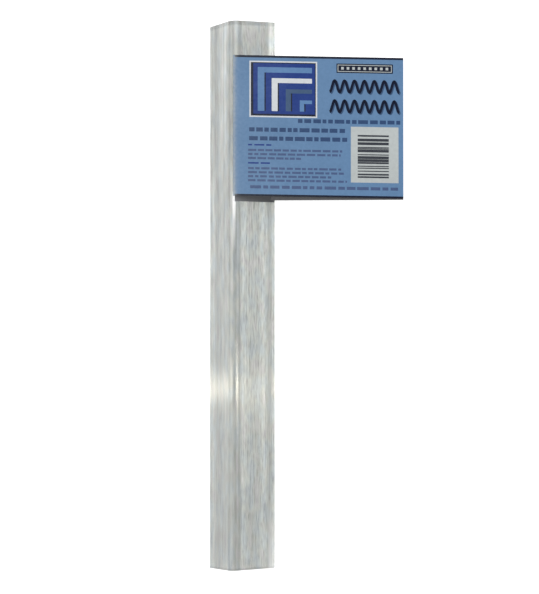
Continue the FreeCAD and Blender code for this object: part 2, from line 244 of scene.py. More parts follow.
def share(name, description, default):
    """A share from 0 to 1, shown as a slider."""
    return FloatProperty(name=name, description=description, default=default, min=0, max=1, subtype="FACTOR")


def colour(name, description, srgb):
    """A colour property, written as the 0 to 255 values of a screen and kept as linear light."""
    return FloatVectorProperty(name=name, description=description, subtype="COLOR", size=3, min=0, max=1,
                               default=linear(srgb))


class GuardSettings(bpy.types.PropertyGroup):
    """The moulding's section and its plastic."""
    length: length("Length", "Between the two sawn ends", 211.7 * MM)
    end_skew: angle("End skew", "How far both sawn ends are out of square", 1.6)
    leg_width: length("Leg width", "Outer face of a leg, from the sharp corner to the toe", 19.05 * MM)
    wall: length("Wall", "Thickness of both legs", 1.6 * MM)
    nose_radius: length("Nose radius", "Outer round where the legs meet", 3.2 * MM)
    inner_radius: length("Inner radius", "Inner round where the legs meet", 1.6 * MM)
    toe_radius: length("Toe radius", "Round on the outer edge of each toe", 0.5 * MM)
    sawn_edge: length("Sawn edge", "Width broken off the sharp edges", 0.12 * MM)
    line_width: length("Line width", "Width of a line that the die drew along the whole moulding", 1.5 * MM)
    line_contrast: number("Line contrast", "How strongly die lines show", 2.0)
    grain_width: length("Grain width", "Width of a short streak in the plastic", 0.6 * MM)
    grain_length: length("Grain length", "Run of a short streak in the plastic", 15 * MM)
    grain_contrast: number("Grain contrast", "How strongly the grain shows", 1.7)
    fleck_length: length("Fleck length", "Run of the shortest marks in the plastic", 3.5 * MM)
    fleck_contrast: number("Fleck contrast", "How strongly those marks show", 0.9)
    head_calm: share("Calm by the card", "Share of the grain left above the card's foot", 0.45)
    sway: length("Sway", "How far the grain wavers from side to side", 0.9 * MM)
    haze: share("Haze", "Roughness of the plastic's surface", 0.13)
    bending: number("Refraction", "Refractive index where light goes into the plastic", 1.49, 1)
    bending_out: number("Refraction on leaving", "The same where light leaves it", 1.02, 1)
    clearness: share("Clearness", "Share of the light that passes through", 0.9)


class CardSettings(bpy.types.PropertyGroup):
    """The card's cut and fold, and its inks."""
    width: length("Panel width", "Printed panel, from its fold to its free edge", 64.75 * MM)
    height: length("Panel height", "Printed panel, along the middle of the nose", 54.2 * MM)
    thickness: length("Card", "Stock of the card", 0.35 * MM)
    end_gap: length("End gap", "From the moulding's end at +Y to the card", 13.45 * MM)
    top_skew: angle("Top skew", "How far the panel's end at +Y is out of square", 1.7)
    foot_skew: angle("Foot skew", "How far the panel's end at -Y is out of square", 1.3)
    fold_angle: angle("Fold angle", "Round the nose from its top to the fold", 15)
    fold_radius: length("Fold radius", "Inside of the fold", 0.3 * MM)
    flap_margin: length("Flap margin", "From the flap's edge to the toe", 0.65 * MM)
    flap_drop: length("Flap drop", "How far the flap goes past the panel, in line with the nose", 2.1 * MM)
    backing_drop: length("Backing drop", "The same of the backing", 1.95 * MM)
    backing_start: length("Backing start", "From the fold to the edge of the backing", 14 * MM)
    glue_line: length("Glue line", "Film of glue between the flap and the moulding", 0.1 * MM)
    ground: colour("Ground", "Mid blue of the printed face", (104, 140, 180))
    navy: colour("Navy", "Border lines and the waves", (10, 20, 44))
    slate: colour("Slate", "Shade beside the waves", (66, 92, 126))
    ink: colour("Ink", "Bars that stand for the larger print", (50, 77, 118))
    royal: colour("Royal blue", "Field of the picture block", (26, 58, 134))
    sky: colour("Sky blue", "Light bands of the picture block", (98, 138, 186))
    white: colour("White ink", "Outline of the picture block", (222, 226, 230))
    plum: colour("Plum", "Fine lines that stand for small print", (78, 98, 138))
    pale: colour("Pale panel", "Bare panel for a stock code", (196, 202, 202))
    grey: colour("Grey", "Bars on the pale panel", (58, 62, 70))
    board: colour("Board", "Bare back of the card", (124, 125, 128))
    # Painted shade: the backing is the same bare board as the card's back, set darker to stand for the shade
    # under the panel.
    backing: colour("Backing", "Bare board of the backing", (92, 92, 94))


class StageSettings(bpy.types.PropertyGroup):
    """Where the camera stands, and how much light there is."""
    view_tilt: angle("View tilt", "Camera's turn from straight above towards +X", 17.8)
    view_pitch: angle("View pitch", "Camera's turn from straight above towards -Y", 1.3)
    view_distance: length("View distance", "From the camera to the moulding's sharp corner", 852 * MM)
    focal_pixels: number("Focal length", "Focal length in pixels of the picture", 2219)
    corner_x: number("Corner X", "Column of the picture with the sharp corner", 231.6)
    corner_y: number("Corner Y", "Row of the picture with the middle of the moulding", 294.9)
    floor_colour: colour("Floor", "Matt white of the floor", (242, 242, 242))
    floor_lift: share("Floor lift", "Light of its own that the floor shows to the eye", 0.78)
    sky_light: number("Sky light", "Strength of the even light from all round", 0.6)
    key_light: FloatProperty(name="Key light", description="Watts of the softbox above the +Y end",
                             default=5.0, min=0, unit="POWER")
    glow_colour: colour("Glow colour", "Warm white of the light strips", (255, 248, 226))
    glow_place: length("Glow place", "Along the moulding, where the strips show in it", -36.1 * MM)
    glow_width: length("Glow width", "From the middle of that bright band to where it has faded", 6 * MM)
    floor_segments: IntProperty(name="Floor segments", description="Steps round the floor", default=96, min=8)


def turn(centre, radius, start, end, count):
    """Points of an arc: centre + radius * (sin a, cos a), with a from start to end."""
    a = np.linspace(start, end, count)
    return np.asarray(centre) + radius * np.stack([np.sin(a), np.cos(a)], axis=-1)


def straight(first, last, count):
    """Evenly spaced points of the line first + t * (last - first), with both ends."""
    t = np.linspace(0, 1, count)[:, None]
    return np.asarray(first) * (1 - t) + np.asarray(last) * t


def chain(*runs):
    """One path from several, each starting where the one before ended."""
    return np.concatenate([runs[0]] + [run[1:] for run in runs[1:]])


def run_lengths(path):
    """Distance along a path to each of its points."""
    steps = np.linalg.norm(np.diff(path, axis=0), axis=1)
    return np.concatenate([[0], np.cumsum(steps)])


def slab(outer, inner):
    """Points and quads of the closed solid between two grids of points, both (stations, rows, 3).

    The outer grid faces outwards when stations run towards -X and rows towards -Y. The inner grid is turned
    round, and four strips close the borders.
    """
    stations, rows = outer.shape[:2]
    points = np.concatenate([outer.reshape(-1, 3), inner.reshape(-1, 3)])
    top = np.arange(stations * rows).reshape(stations, rows)
    low = top + stations * rows
    quads = [
        np.stack([top[:-1, :-1], top[1:, :-1], top[1:, 1:], top[:-1, 1:]], axis=-1),
        np.stack([low[:-1, :-1], low[:-1, 1:], low[1:, 1:], low[1:, :-1]], axis=-1),
        np.stack([top[:-1, 0], low[:-1, 0], low[1:, 0], top[1:, 0]], axis=-1),
        np.stack([top[:-1, -1], top[1:, -1], low[1:, -1], low[:-1, -1]], axis=-1),
        np.stack([top[0, :-1], top[0, 1:], low[0, 1:], low[0, :-1]], axis=-1),
        np.stack([top[-1, :-1], low[-1, :-1], low[-1, 1:], top[-1, 1:]], axis=-1),
    ]
    return points, [q.reshape(-1, 4) for q in quads]


def add_object(name, data):
    """A new object at the origin, in the scene."""
    thing = bpy.data.objects.new(name, data)
    bpy.context.scene.collection.objects.link(thing)
    return thing


def solid_object(name, points, quads):
    """A mesh object with smooth faces, and sharp edges where faces turn by more than SHARP_DEGREES."""
    mesh = bpy.data.meshes.new(name)
    mesh.from_pydata(points.tolist(), [], quads.tolist())
    if mesh.validate():
        raise RuntimeError(f"{name} has faces that don't hold together")
    mesh.polygons.foreach_set("use_smooth", np.ones(len(quads), bool))
    mesh.set_sharp_from_angle(angle=math.radians(SHARP_DEGREES))
    return add_object(name, mesh)


def fill(tree, node, inputs):
    """Fills a node's inputs: a socket is linked, and a value is set."""
    for key, value in inputs.items():
        if isinstance(value, bpy.types.NodeSocket):
            tree.links.new(value, node.inputs[key])
        else:
            node.inputs[key].default_value = value


def add_node(tree, kind, inputs=None, **settings):
    """Adds a node with its settings, then fills its inputs."""
    node = tree.nodes.new(kind)
    for name, value in settings.items():
        setattr(node, name, value)
    fill(tree, node, inputs or {})
    return node


def math_node(tree, operation, *values):
    """The result of a Math node on values or sockets."""
    return add_node(tree, "ShaderNodeMath", dict(enumerate(values)), operation=operation).outputs[0]


def ramp_node(tree, factor, stops):
    """A colour ramp over factor, with stops of (position, grey level or RGB)."""
    node = add_node(tree, "ShaderNodeValToRGB", {"Fac": factor})
    ramp = node.color_ramp
    while len(ramp.elements) < len(stops):
        ramp.elements.new(1)
    for element, (position, value) in zip(ramp.elements, stops):
        element.position = position
        element.color = (*((value,) * 3 if np.isscalar(value) else value), 1)
    return node.outputs["Color"]


def ranged(tree, value, span, levels=(0.0, 1.0)):
    """The first level until value reaches the span, the last level past it, and an even change between."""
    return add_node(tree, "ShaderNodeMapRange", {
        "Value": value, "From Min": span[0], "From Max": span[1], "To Min": levels[0], "To Max": levels[1],
    }).outputs["Result"]


def mix_colours(tree, blend, factor, first, second):
    """Two colours, sockets or RGBA, mixed by a factor."""
    return add_node(tree, "ShaderNodeMix", {"Factor": factor, 6: first, 7: second},
                    data_type="RGBA", blend_type=blend).outputs[2]


def blank_material(name):
    """A node material with nothing in its tree, and the tree."""
    material = bpy.data.materials.new(name)
    material.use_nodes = True
    material.node_tree.nodes.clear()
    return material, material.node_tree


def principled_material(name):
    """A material with a Principled shader on its output, its tree, and the shader."""
    material, tree = blank_material(name)
    shader = add_node(tree, "ShaderNodeBsdfPrincipled")
    add_node(tree, "ShaderNodeOutputMaterial", {"Surface": shader.outputs["BSDF"]})
    return material, tree, shader


def stretched_noise(tree, across, along, size, detail, roughness=0.5):
    """Noise in streaks: its two coordinates are the distances across and along, each over its size."""
    vector = add_node(tree, "ShaderNodeCombineXYZ", {
        "X": math_node(tree, "DIVIDE", across, size[0]),
        "Y": math_node(tree, "DIVIDE", along, size[1]),
    })
    node = add_node(tree, "ShaderNodeTexNoise", {
        "Vector": vector.outputs[0], "Scale": 1.0, "Detail": detail, "Roughness": roughness,
    }, noise_dimensions="2D")
    return node.outputs["Fac"]


def about_zero(tree, noise):
    """Noise of 0 to 1, moved to lie on both sides of zero."""
    return math_node(tree, "SUBTRACT", noise, 0.5)


def shown(grey):
    """Base level of clear plastic that shows a grey of 0 to 255 in front of the white floor.

    The colour works once, where the eye's ray goes in, and there the shader takes the base level's root.
    """
    passed = (linear((grey,))[0] - REFLECTED) / FLOOR_SHOWN
    return float(max(passed, 0) ** 2)


def plastic_places(tree, guard):
    """Where a point of the plastic is, as sockets.

    In metres: across from the nose's middle, along from halfway along the moulding, and swayed, which is
    across moved to either side by noise on the +X leg. From 0 to 1: end_to_end from the -Y end to the +Y end,
    on_right from the nose to the +X leg, by_head from below the card's foot to above it, and toe_to_toe,
    which is swayed from the -X toe to the +X toe.
    """
    uv = add_node(tree, "ShaderNodeUVMap", uv_map=SECTION_UV).outputs["UV"]
    split = add_node(tree, "ShaderNodeSeparateXYZ", {"Vector": uv})
    across, along = split.outputs["X"], split.outputs["Y"]
    on_right = ranged(tree, across, GRAIN_START)
    sway = about_zero(tree, stretched_noise(tree, across, along, SWAY_SIZE, 2))
    sway = math_node(tree, "MULTIPLY", sway, on_right)
    swayed = math_node(tree, "MULTIPLY_ADD", sway, guard.sway, across)
    end_to_end = math_node(tree, "MULTIPLY_ADD", along, 1 / guard.length, 0.5)
    return SimpleNamespace(
        across=across, along=along, on_right=on_right, swayed=swayed, end_to_end=end_to_end,
        by_head=ranged(tree, end_to_end, HEAD_START),
        toe_to_toe=math_node(tree, "MULTIPLY_ADD", swayed, 0.5 / guard.leg_width, 0.5),
    )


def plastic_streaks(tree, guard, at):
    """Streaks in the plastic, as sockets: their tone about 1, the relief that they leave, and the grain.

    Die lines and mottle are on the -X leg and the nose. On the +X leg are wavering grain, which is calmer
    above the card's foot, and flecks.
    """
    lines = stretched_noise(tree, at.across, at.along, (guard.line_width, LINE_RUN), 2, 0.6)
    mottle = stretched_noise(tree, at.across, at.along, MOTTLE_SIZE, 1)
    grain = stretched_noise(tree, at.swayed, at.along, (guard.grain_width, guard.grain_length), 3, 0.7)
    fleck = stretched_noise(tree, at.swayed, at.along, (guard.grain_width, guard.fleck_length), 1)
    mottled = math_node(tree, "MULTIPLY", math_node(tree, "ADD", lines, mottle), 0.5)
    streak, relief = (
        add_node(tree, "ShaderNodeMix", {"Factor": at.on_right, 2: left, 3: grain}).outputs[0]
        for left in (mottled, lines)
    )
    contrast = ranged(tree, at.on_right, (0, 1), (guard.line_contrast, guard.grain_contrast))
    calm = ranged(tree, math_node(tree, "MULTIPLY", at.by_head, at.on_right), (0, 1), (1, guard.head_calm))
    contrast = math_node(tree, "MULTIPLY", contrast, calm)
    tone = math_node(tree, "MULTIPLY_ADD", about_zero(tree, streak), contrast, 1.0)
    fleck = math_node(tree, "MULTIPLY", about_zero(tree, fleck), at.on_right)
    return math_node(tree, "MULTIPLY_ADD", fleck, guard.fleck_contrast, tone), relief, grain


def plastic_colour(tree, guard, at, tone):
    """Colour of the plastic: bands across the section, some of them painted highlight and painted shade,
    times streaks, tints, painted light along it and painted shade at the sawn ends.

    It is clear on the +X toe at the -Y end, and a painted highlight turns it white on the nose at the card's
    foot.
    """
    bands = [ramp_node(tree, at.toe_to_toe, [(place, shown(grey)) for place, grey in row])
             for row in (BANDS, HEAD_BANDS)]
    body = mix_colours(tree, "MIX", at.by_head, *bands)
    tint = ramp_node(tree, stretched_noise(tree, at.across, at.along, TINT_SIZE, 1), TINTS)
    # painted light along the moulding: darker towards the -Y end and paler towards the +Y end
    painted_lights = [ramp_node(tree, at.end_to_end, stops) for stops in (LEFT_PAINTED_LIGHT, RIGHT_PAINTED_LIGHT)]
    shades = [tone, tint, mix_colours(tree, "MIX", at.on_right, *painted_lights)]
    # painted shade: a darker band at each sawn end
    for side, begin, full, level in SHADED_SAWN_ENDS:
        span = [side * (guard.length / 2 - distance) for distance in (begin, full)]
        shades.append(ranged(tree, at.along, span, (1, level)))
    for shade in shades:
        body = mix_colours(tree, "MULTIPLY", 1.0, body, shade)
    along_toe = ramp_node(tree, at.end_to_end, CLEAR_TOE)
    on_toe = math_node(tree, "MULTIPLY", along_toe, ranged(tree, at.across, TOE_START))
    # painted highlight: a white spot on the nose just below the card's foot
    highlight_by_card = ramp_node(tree, at.end_to_end, HIGHLIGHT_BY_CARD)
    highlight_on_nose = ramp_node(tree, at.toe_to_toe, HIGHLIGHT_ON_NOSE)
    # clear holds both the clear toe and the painted highlight on the nose
    clear = math_node(tree, "MULTIPLY_ADD", highlight_by_card, highlight_on_nose, on_toe)
    return mix_colours(tree, "MIX", clear, body, WHITE)


def plastic_material(guard):
    """Hazy clear plastic. It tints light where it goes in and not where it leaves, so no line shows twice."""
    material, tree, shader = principled_material("clear_plastic_drawn")
    at = plastic_places(tree, guard)
    tone, relief, grain = plastic_streaks(tree, guard, at)
    leaving = add_node(tree, "ShaderNodeNewGeometry").outputs["Backfacing"]
    body = mix_colours(tree, "MIX", leaving, plastic_colour(tree, guard, at, tone), WHITE)
    ripple = add_node(tree, "ShaderNodeBump", {"Height": relief, "Strength": 0.25, "Distance": 0.1 * MM})
    haze = math_node(tree, "MULTIPLY_ADD", grain, GRAIN_HAZE, guard.haze - GRAIN_HAZE / 2)
    rough = math_node(tree, "ADD", haze, ramp_node(tree, at.toe_to_toe, SCUFFS))
    # Light leaves almost straight, or else the inner round would trap it in a dark line along the nose.
    index = math_node(tree, "MULTIPLY_ADD", leaving, guard.bending_out - guard.bending, guard.bending)
    lie = add_node(tree, "ShaderNodeTangent", direction_type="UV_MAP", uv_map=SECTION_UV)
    fill(tree, shader, {
        "Base Color": body, "Roughness": rough, "IOR": index, "Normal": ripple.outputs["Normal"],
        "Tangent": lie.outputs["Tangent"], "Transmission Weight": guard.clearness, "Anisotropic": 1.0,
    })
    return material


def leg_to_section(guard, points):
    """Section points (x, z) of the +X leg, from (distance from the sharp corner, depth under its face)."""
    along, deep = points[:, 0], points[:, 1]
    top = (guard.leg_width + guard.wall) * math.sin(LEAN)
    return np.stack([(along - deep) * math.cos(LEAN), top - (along + deep) * math.sin(LEAN)], axis=-1)


def mirrored(half):
    """A path from the +X toe to the -X toe, from the half that runs from the nose's middle to the +X toe."""
    return np.concatenate([half[::-1], half[1:] * (-1, 1)])


def guard_sections(guard):
    """Outer and inner path of the section, toe to toe, with as many points each.

    Points are first in the leg's own measures, distance from the sharp corner and depth. There the outer path
    is half of the nose's round, the flat, the toe's round and the toe's face. The inner path is half of the
    inner round and the flat.
    """
    leg, wall, nose, toe = guard.leg_width, guard.wall, guard.nose_radius, guard.toe_radius
    hollow = wall + guard.inner_radius
    eighth = math.pi / 4
    round_count, flat_count, toe_count, face_count = 40, 20, 7, 4
    # Depth grows downwards, so the nose and the hollow have a negative radius, and the toe is turned over.
    nose_half = turn((nose, nose), -nose, eighth, 0, round_count)
    toe_round = (leg - toe, toe) + turn((0, 0), toe, 0, 2 * eighth, toe_count) * (1, -1)
    outer = chain(nose_half, straight((nose, 0), (leg - toe, 0), flat_count), toe_round,
                  straight((leg, toe), (leg, wall), face_count)[:-1])
    inner_half = turn((hollow, hollow), -guard.inner_radius, eighth, 0, round_count)
    inner = chain(inner_half, straight((hollow, wall), (leg, wall), len(outer) - len(inner_half) + 1))
    return mirrored(leg_to_section(guard, outer)), mirrored(leg_to_section(guard, inner))


class CORNERGUARD_OT_moulding(bpy.types.Operator):
    """Make the clear moulding: its section carried along Y, with its sharp edges broken"""
    bl_idname = "corner_guard.moulding"
    bl_label = "Clear moulding"

    def execute(self, context):
        guard = context.scene.corner_guard
        rows = np.linspace(guard.length / 2, -guard.length / 2, GUARD_ROWS)
        grids, places = [], []
        for path in guard_sections(guard):
            run = run_lengths(path)
            across = run[-1] / 2 - run
            x, z, u = (np.repeat(values[:, None], len(rows), axis=1) for values in (*path.T, across))
            v = np.broadcast_to(rows, x.shape)
            grids.append(np.stack([x, v + x * math.tan(guard.end_skew), z], axis=-1))
            places.append(np.stack([u, v], axis=-1).reshape(-1, 2))
        points, quads = slab(*grids)
        quads = np.concatenate(quads)
        piece = solid_object("moulding", points, quads)
        uv = piece.data.uv_layers.new(name=SECTION_UV)
        uv.data.foreach_set("uv", np.concatenate(places)[quads.ravel()].astype(np.float32).ravel())
        edge = piece.modifiers.new("broken_edges", "BEVEL")
        edge.width, edge.segments, edge.limit_method = guard.sawn_edge, 2, "ANGLE"
        edge.angle_limit = math.radians(BROKEN_DEGREES)
        piece.data.materials.append(plastic_material(guard))
        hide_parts("corner_guard")
        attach(piece, "root")
        return {"FINISHED"}


def words(left, right, top, height, pitch, seed):
    """Bars that stand for a line of print: lengths and gaps of words drawn about a pitch, from one seed."""
    dice = np.random.default_rng(seed)
    count = int((right - left) / pitch) + 4
    lengths = dice.uniform(*WORD_LENGTHS, count) * pitch
    gaps = dice.uniform(*WORD_GAPS, count) * pitch
    begins = left + np.concatenate([[0], np.cumsum(lengths + gaps)[:-1]])
    ends = np.minimum(begins + lengths, right)
    keep = ends - begins > WORD_STUMP * pitch
    reaches = np.round(np.stack([begins, ends], axis=-1)[keep], 2)
    return [(begin, end, top, top + height) for begin, end in reaches]


def shrunk(box, margins):
    """A box with its sides moved inwards by one margin, or by one each for left, right, top and bottom."""
    return tuple(np.add(box, np.multiply(margins, (1, -1, 1, -1))))


def picture_bars(card):
    """A white outline round a blue field, with nested square corners, each finer than the last."""
    left, right, top, bottom = PICTURE
    layers = [(card.white, [PICTURE]), (card.navy, [shrunk(PICTURE, PICTURE_OUTLINE)]),
              (card.royal, [shrunk(PICTURE, PICTURE_FIELD)])]
    reach, foot = right - CORNER_ROOM[0], bottom - CORNER_ROOM[1]
    for step, ink in enumerate((card.sky, card.white, card.slate, card.sky)):
        x = left + CORNER_PLACE[0] + step * CORNER_STEP[0]
        y = top + CORNER_PLACE[1] + step * CORNER_STEP[1]
        band = CORNER_BAND - step * CORNER_FINER
        under = y + band * CORNER_FLAT
        layers.append((ink, [(x, x + band, y, foot), (x, reach, y, under)]))
        layers.append((card.navy, [(x + band, x + band + CORNER_EDGE, under, foot)]))
    return layers


def plate_bars(card):
    """A dark plate with a pale line inside its edge, and a row of pale squares in its middle."""
    left, right, top, bottom = PLATE
    line, field = (shrunk(PLATE, margin) for margin in PLATE_LINE)
    begins = np.linspace(left + SQUARE_MARGIN, right - SQUARE_MARGIN - SQUARE, SQUARE_COUNT)
    above = (bottom - top - SQUARE) / 2
    squares = [(x, x + SQUARE, top + above, bottom - above) for x in np.round(begins, 2)]
    return [(card.navy, [PLATE]), (card.pale, [line]), (card.navy, [field]), (card.pale, squares)]


def text_bars(card):
    """Bars for the headings, then for paragraphs: a short heading over fine lines."""
    layers = [(card.ink, words(*heading)) for heading in HEADINGS]
    for top, lengths in PARAGRAPHS:
        seed = int(top)
        layers.append((card.royal, words(TEXT_LEFT, TEXT_LEFT + TEXT_HEADING, top, *SMALL_HEADING, seed)))
        for line, extent in enumerate(lengths):
            y = top + TEXT_DROP + line * TEXT_PITCH
            fine = words(TEXT_LEFT, TEXT_LEFT + extent, y, *SMALL_PRINT, SMALL_PRINT_SEED + seed + line)
            layers.append((card.plum, fine))
    return layers


def code_bars(card):
    """A pale panel with bars across it: each bar and gap is one of three widths, drawn from one seed."""
    dice = np.random.default_rng(CODE_SEED)
    edges = CODE_TOP + np.cumsum(dice.choice(CODE_STEPS, CODE_EDGES))
    edges = np.round(edges.reshape(-1, 2) + (-CODE_SPREAD, CODE_SPREAD), 2)
    return [(card.pale, [CODE_PANEL]), (card.grey, [(*CODE_REACH, top, bottom) for top, bottom in edges])]


def print_bars(card):
    """The print as (ink, bars), painted in order. A bar is a box, in mm from the fold's top."""
    width, height = card.width / MM, card.height / MM
    border = [(0, width, 0, TOP_BORDER), (0, width, height - FOOT_BORDER, height)]
    layers = [(card.navy, border), *picture_bars(card), *plate_bars(card), *text_bars(card), *code_bars(card)]
    return layers + [(card.plum, words(*FOOT_LINE))]


def wave(foot):
    """An even wavy line on the panel, as points (distance from the fold, distance from the top) in mm.

    With a = 2 pi times the humps so far, it rises from the foot by height * (1 - cos a) / 2.
    """
    begin, finish = WAVE_REACH
    done = np.linspace(0, 1, HUMP_STEPS * WAVE_HUMPS + 1)
    a = 2 * math.pi * WAVE_HUMPS * done
    return np.stack([begin + (finish - begin) * done, foot - WAVE_HEIGHT * (1 - np.cos(a)) / 2], axis=-1)


def ribbon(path, shift, coats, place):
    """The two faces of a band of ink along a path on the panel, moved by a shift in mm.

    The edges are the path moved to both sides, at right angles to it. Each coat stands higher off the card.
    """
    run = np.gradient(path, axis=0)
    up = np.stack([run[:, 1], -run[:, 0]], axis=-1) / np.linalg.norm(run, axis=1)[:, None]
    edges = np.stack([path - WAVE_HALF * up, path + WAVE_HALF * up], axis=1) + shift
    return place(edges, coats * INK_TOP), place(edges, coats * INK_ROOT)


def joined(parts):
    """Several closed solids as one: all their points, and the quads of each."""
    starts = np.cumsum([0] + [len(points) for points, _ in parts])
    quads = [np.concatenate(groups) + start for (_, groups), start in zip(parts, starts)]
    return np.concatenate([points for points, _ in parts]), quads


def grid_lines(edges, size):
    """Sorted grid lines from 0 to size in mm, at every print edge and never further apart than CELL."""
    even = np.linspace(0, size, int(size / CELL) + 1)
    return np.unique(np.round(np.clip(np.concatenate([even, edges]), 0, size), 2))


def card_sheet(card, guard, panel_lines):
    """Printed and bare path (x, z) of the sheet, from its free edge to the flap's edge, and of the backing.

    The panel leaves the fold at the slope that brings the backing under it down to the floor. The fold turns
    about a centre outside the nose, and the flap follows the nose and then the leg.
    """
    sharp_corner = (guard.leg_width + guard.wall) * math.sin(LEAN)
    nose_centre = np.array([0, sharp_corner - guard.nose_radius * math.sqrt(2)])
    under = guard.nose_radius + card.glue_line
    over = under + card.thickness
    inside, outside = card.fold_radius, card.fold_radius + card.thickness
    fold = card.fold_angle
    fold_centre = nose_centre + (over + inside) * np.array([math.sin(fold), math.cos(fold)])
    lowest = inside - card.thickness
    slope = math.asin(fold_centre[1] / math.hypot(card.width, lowest)) + math.atan2(lowest, card.width)
    outwards = np.array([math.sin(slope), math.cos(slope)])
    down_panel = np.array([math.cos(slope), -math.sin(slope)])
    panel = (panel_lines[::-1] * MM)[:, None] * down_panel
    flat = guard.leg_width - guard.nose_radius - card.flap_margin
    down_leg = flat * np.array([math.sin(LEAN), -math.cos(LEAN)])
    flap_corner = np.array([math.sin(LEAN), math.cos(LEAN)])

    def side(fold_reach, wrap_radius):
        """One side of the sheet. A station soon after the fold lets the flap's own cut begin there."""
        wrap = turn(nose_centre, wrap_radius, fold, LEAN, FLAP_STEPS)
        soon = wrap[:1] * (1 - CUT_SHARE) + wrap[1:2] * CUT_SHARE
        start = nose_centre + wrap_radius * flap_corner
        return chain(fold_centre + fold_reach * outwards + panel,
                     turn(fold_centre, fold_reach, slope, fold - math.pi, FOLD_STEPS + 1),
                     np.concatenate([wrap[:1], soon, wrap[1:]]),
                     straight(start, start + down_leg, FLAP_STEPS))

    backed = straight(card.width * down_panel, card.backing_start * down_panel, BACKING_STEPS) + fold_centre
    sheet = side(outside, under), side(inside, over)
    return sheet, (backed + inside * outwards, backed + lowest * outwards)


def carried(path, shares, top, foot):
    """A section of the card carried along Y, with a top and a foot for each station.

    A row is a share of the way: y = top + share * (foot - top).
    """
    x, z = (np.repeat(values[:, None], len(shares), axis=1) for values in path.T)
    top, foot = (np.broadcast_to(end, len(path))[:, None] for end in (top, foot))
    return np.stack([x, top + shares * (foot - top), z], axis=-1)


def card_cut(card, guard):
    """Y of the panel's top and foot in line with the nose, and how far each falls for a metre of x."""
    head = guard.length / 2 - card.end_gap
    return SimpleNamespace(head=head, foot=head - card.height, top_fall=math.tan(card.top_skew),
                           foot_fall=math.tan(card.foot_skew))


def sheet_grid(card, guard, cut, path, fold_end, lines):
    """One side of the sheet: the panel is cut askew at both ends, and the flap past the fold square."""
    x = path[:, 0]
    flap = np.arange(len(path)) > fold_end
    top = cut.head - np.where(flap, guard.leg_width, x) * cut.top_fall
    foot = cut.foot - np.where(flap, card.flap_drop, x * cut.foot_fall)
    return carried(path, lines * MM / card.height, top, foot)


def backing_grid(card, cut, path):
    """One side of the backing: its top lies under the panel's top, and its foot goes past the panel's."""
    inset = card.width * math.tan(card.top_skew + card.foot_skew)
    shares = np.linspace(0, 1, BACKING_STEPS)
    return carried(path, shares, cut.head - inset, cut.foot - card.backing_drop)


def on_panel(card, cut, printed, fold_start, marks, lift):
    """Points of the printed panel at marks, (from the fold, from the top) in mm, raised by lift."""
    down_panel = (printed[0] - printed[fold_start]) / card.width
    outwards = np.array([-down_panel[1], down_panel[0]])
    places = printed[fold_start] + marks[..., :1] * MM * down_panel + lift * outwards
    x, z = np.moveaxis(places, -1, 0)
    down = marks[..., 1] * MM / card.height
    y = (cut.head - x * cut.top_fall) * (1 - down) + (cut.foot - x * cut.foot_fall) * down
    return np.stack([x, y, z], axis=-1)


def printed_inks(card, layers, columns, lines, stations):
    """Ink of each quad on the sheet's printed side: the ground, with the bars of every layer over it."""
    face = np.empty((stations - 1, len(lines) - 1, 4))
    face[:] = (*card.ground, 1)
    panel = face[:len(columns) - 1]
    column_middles = (columns[:-1] + columns[1:])[::-1] / 2
    line_middles = (lines[:-1] + lines[1:]) / 2
    for ink, bars in layers:
        for left, right, top, bottom in bars:
            across = (column_middles > left) & (column_middles < right)
            down = (line_middles > top) & (line_middles < bottom)
            panel[np.ix_(across, down)] = (*ink, 1)
    return face.reshape(-1, 4)


def fold_rub_and_light(printed, fold_start, fold_end):
    """Rubbing and painted light at each station, greatest on the outside of the fold: amount * exp(-away /
    distance), added up.

    The rubbing fades at once, and the painted light is a little that goes far across the panel, so the panel
    is paler near the fold and darker towards its free edge.
    """
    run = run_lengths(printed)
    away = np.maximum(run[fold_start] - run, 0) + np.maximum(run - run[fold_end], 0)
    return sum(amount * np.exp(-away / distance) for amount, distance in RUB_AND_LIGHT_FADES)


def card_material(card):
    """Coated card: the print with paper mottle, rubbed pale along the fold with painted light paling the
    panel near it, and matt on its bare board.
    """
    material, tree, shader = principled_material("printed_card_coated")
    ink = add_node(tree, "ShaderNodeAttribute", attribute_name=PRINT_COLOUR)
    rub_and_light = add_node(tree, "ShaderNodeAttribute", attribute_name=FOLD_RUB_AND_LIGHT)
    place = add_node(tree, "ShaderNodeTexCoord").outputs["Object"]
    mottle = add_node(tree, "ShaderNodeTexNoise", {
        "Vector": place, "Scale": FIBRE_SCALE, "Detail": 3.0, "Roughness": 0.6,
    })
    cloud = add_node(tree, "ShaderNodeTexNoise", {"Vector": place, "Scale": CLOUD_SCALE, "Detail": 2.0})
    grain = math_node(tree, "ADD", math_node(tree, "MULTIPLY", mottle.outputs["Fac"], 0.6),
                      math_node(tree, "MULTIPLY", cloud.outputs["Fac"], 0.4))
    body = mix_colours(tree, "MULTIPLY", 1.0, ink.outputs["Color"], ramp_node(tree, grain, PAPER_SHADES))
    uneven = math_node(tree, "MULTIPLY_ADD", grain, 0.8, -0.1)
    # painted light mixes in here too: the far fade pales the panel near the fold
    rubbed_and_lit = math_node(tree, "MULTIPLY", rub_and_light.outputs["Fac"], uneven)
    fibre = add_node(tree, "ShaderNodeBump", {"Height": grain, "Strength": 0.12, "Distance": 0.05 * MM})
    rough = math_node(tree, "MULTIPLY_ADD", ink.outputs["Alpha"], INK_ROUGH - BOARD_ROUGH, BOARD_ROUGH)
    fill(tree, shader, {
        "Base Color": mix_colours(tree, "MIX", rubbed_and_lit, body, (*linear(RUBBED_AND_LIT), 1)), "Roughness": rough,
        "Normal": fibre.outputs["Normal"], "Specular IOR Level": 0.08,
    })
    return material


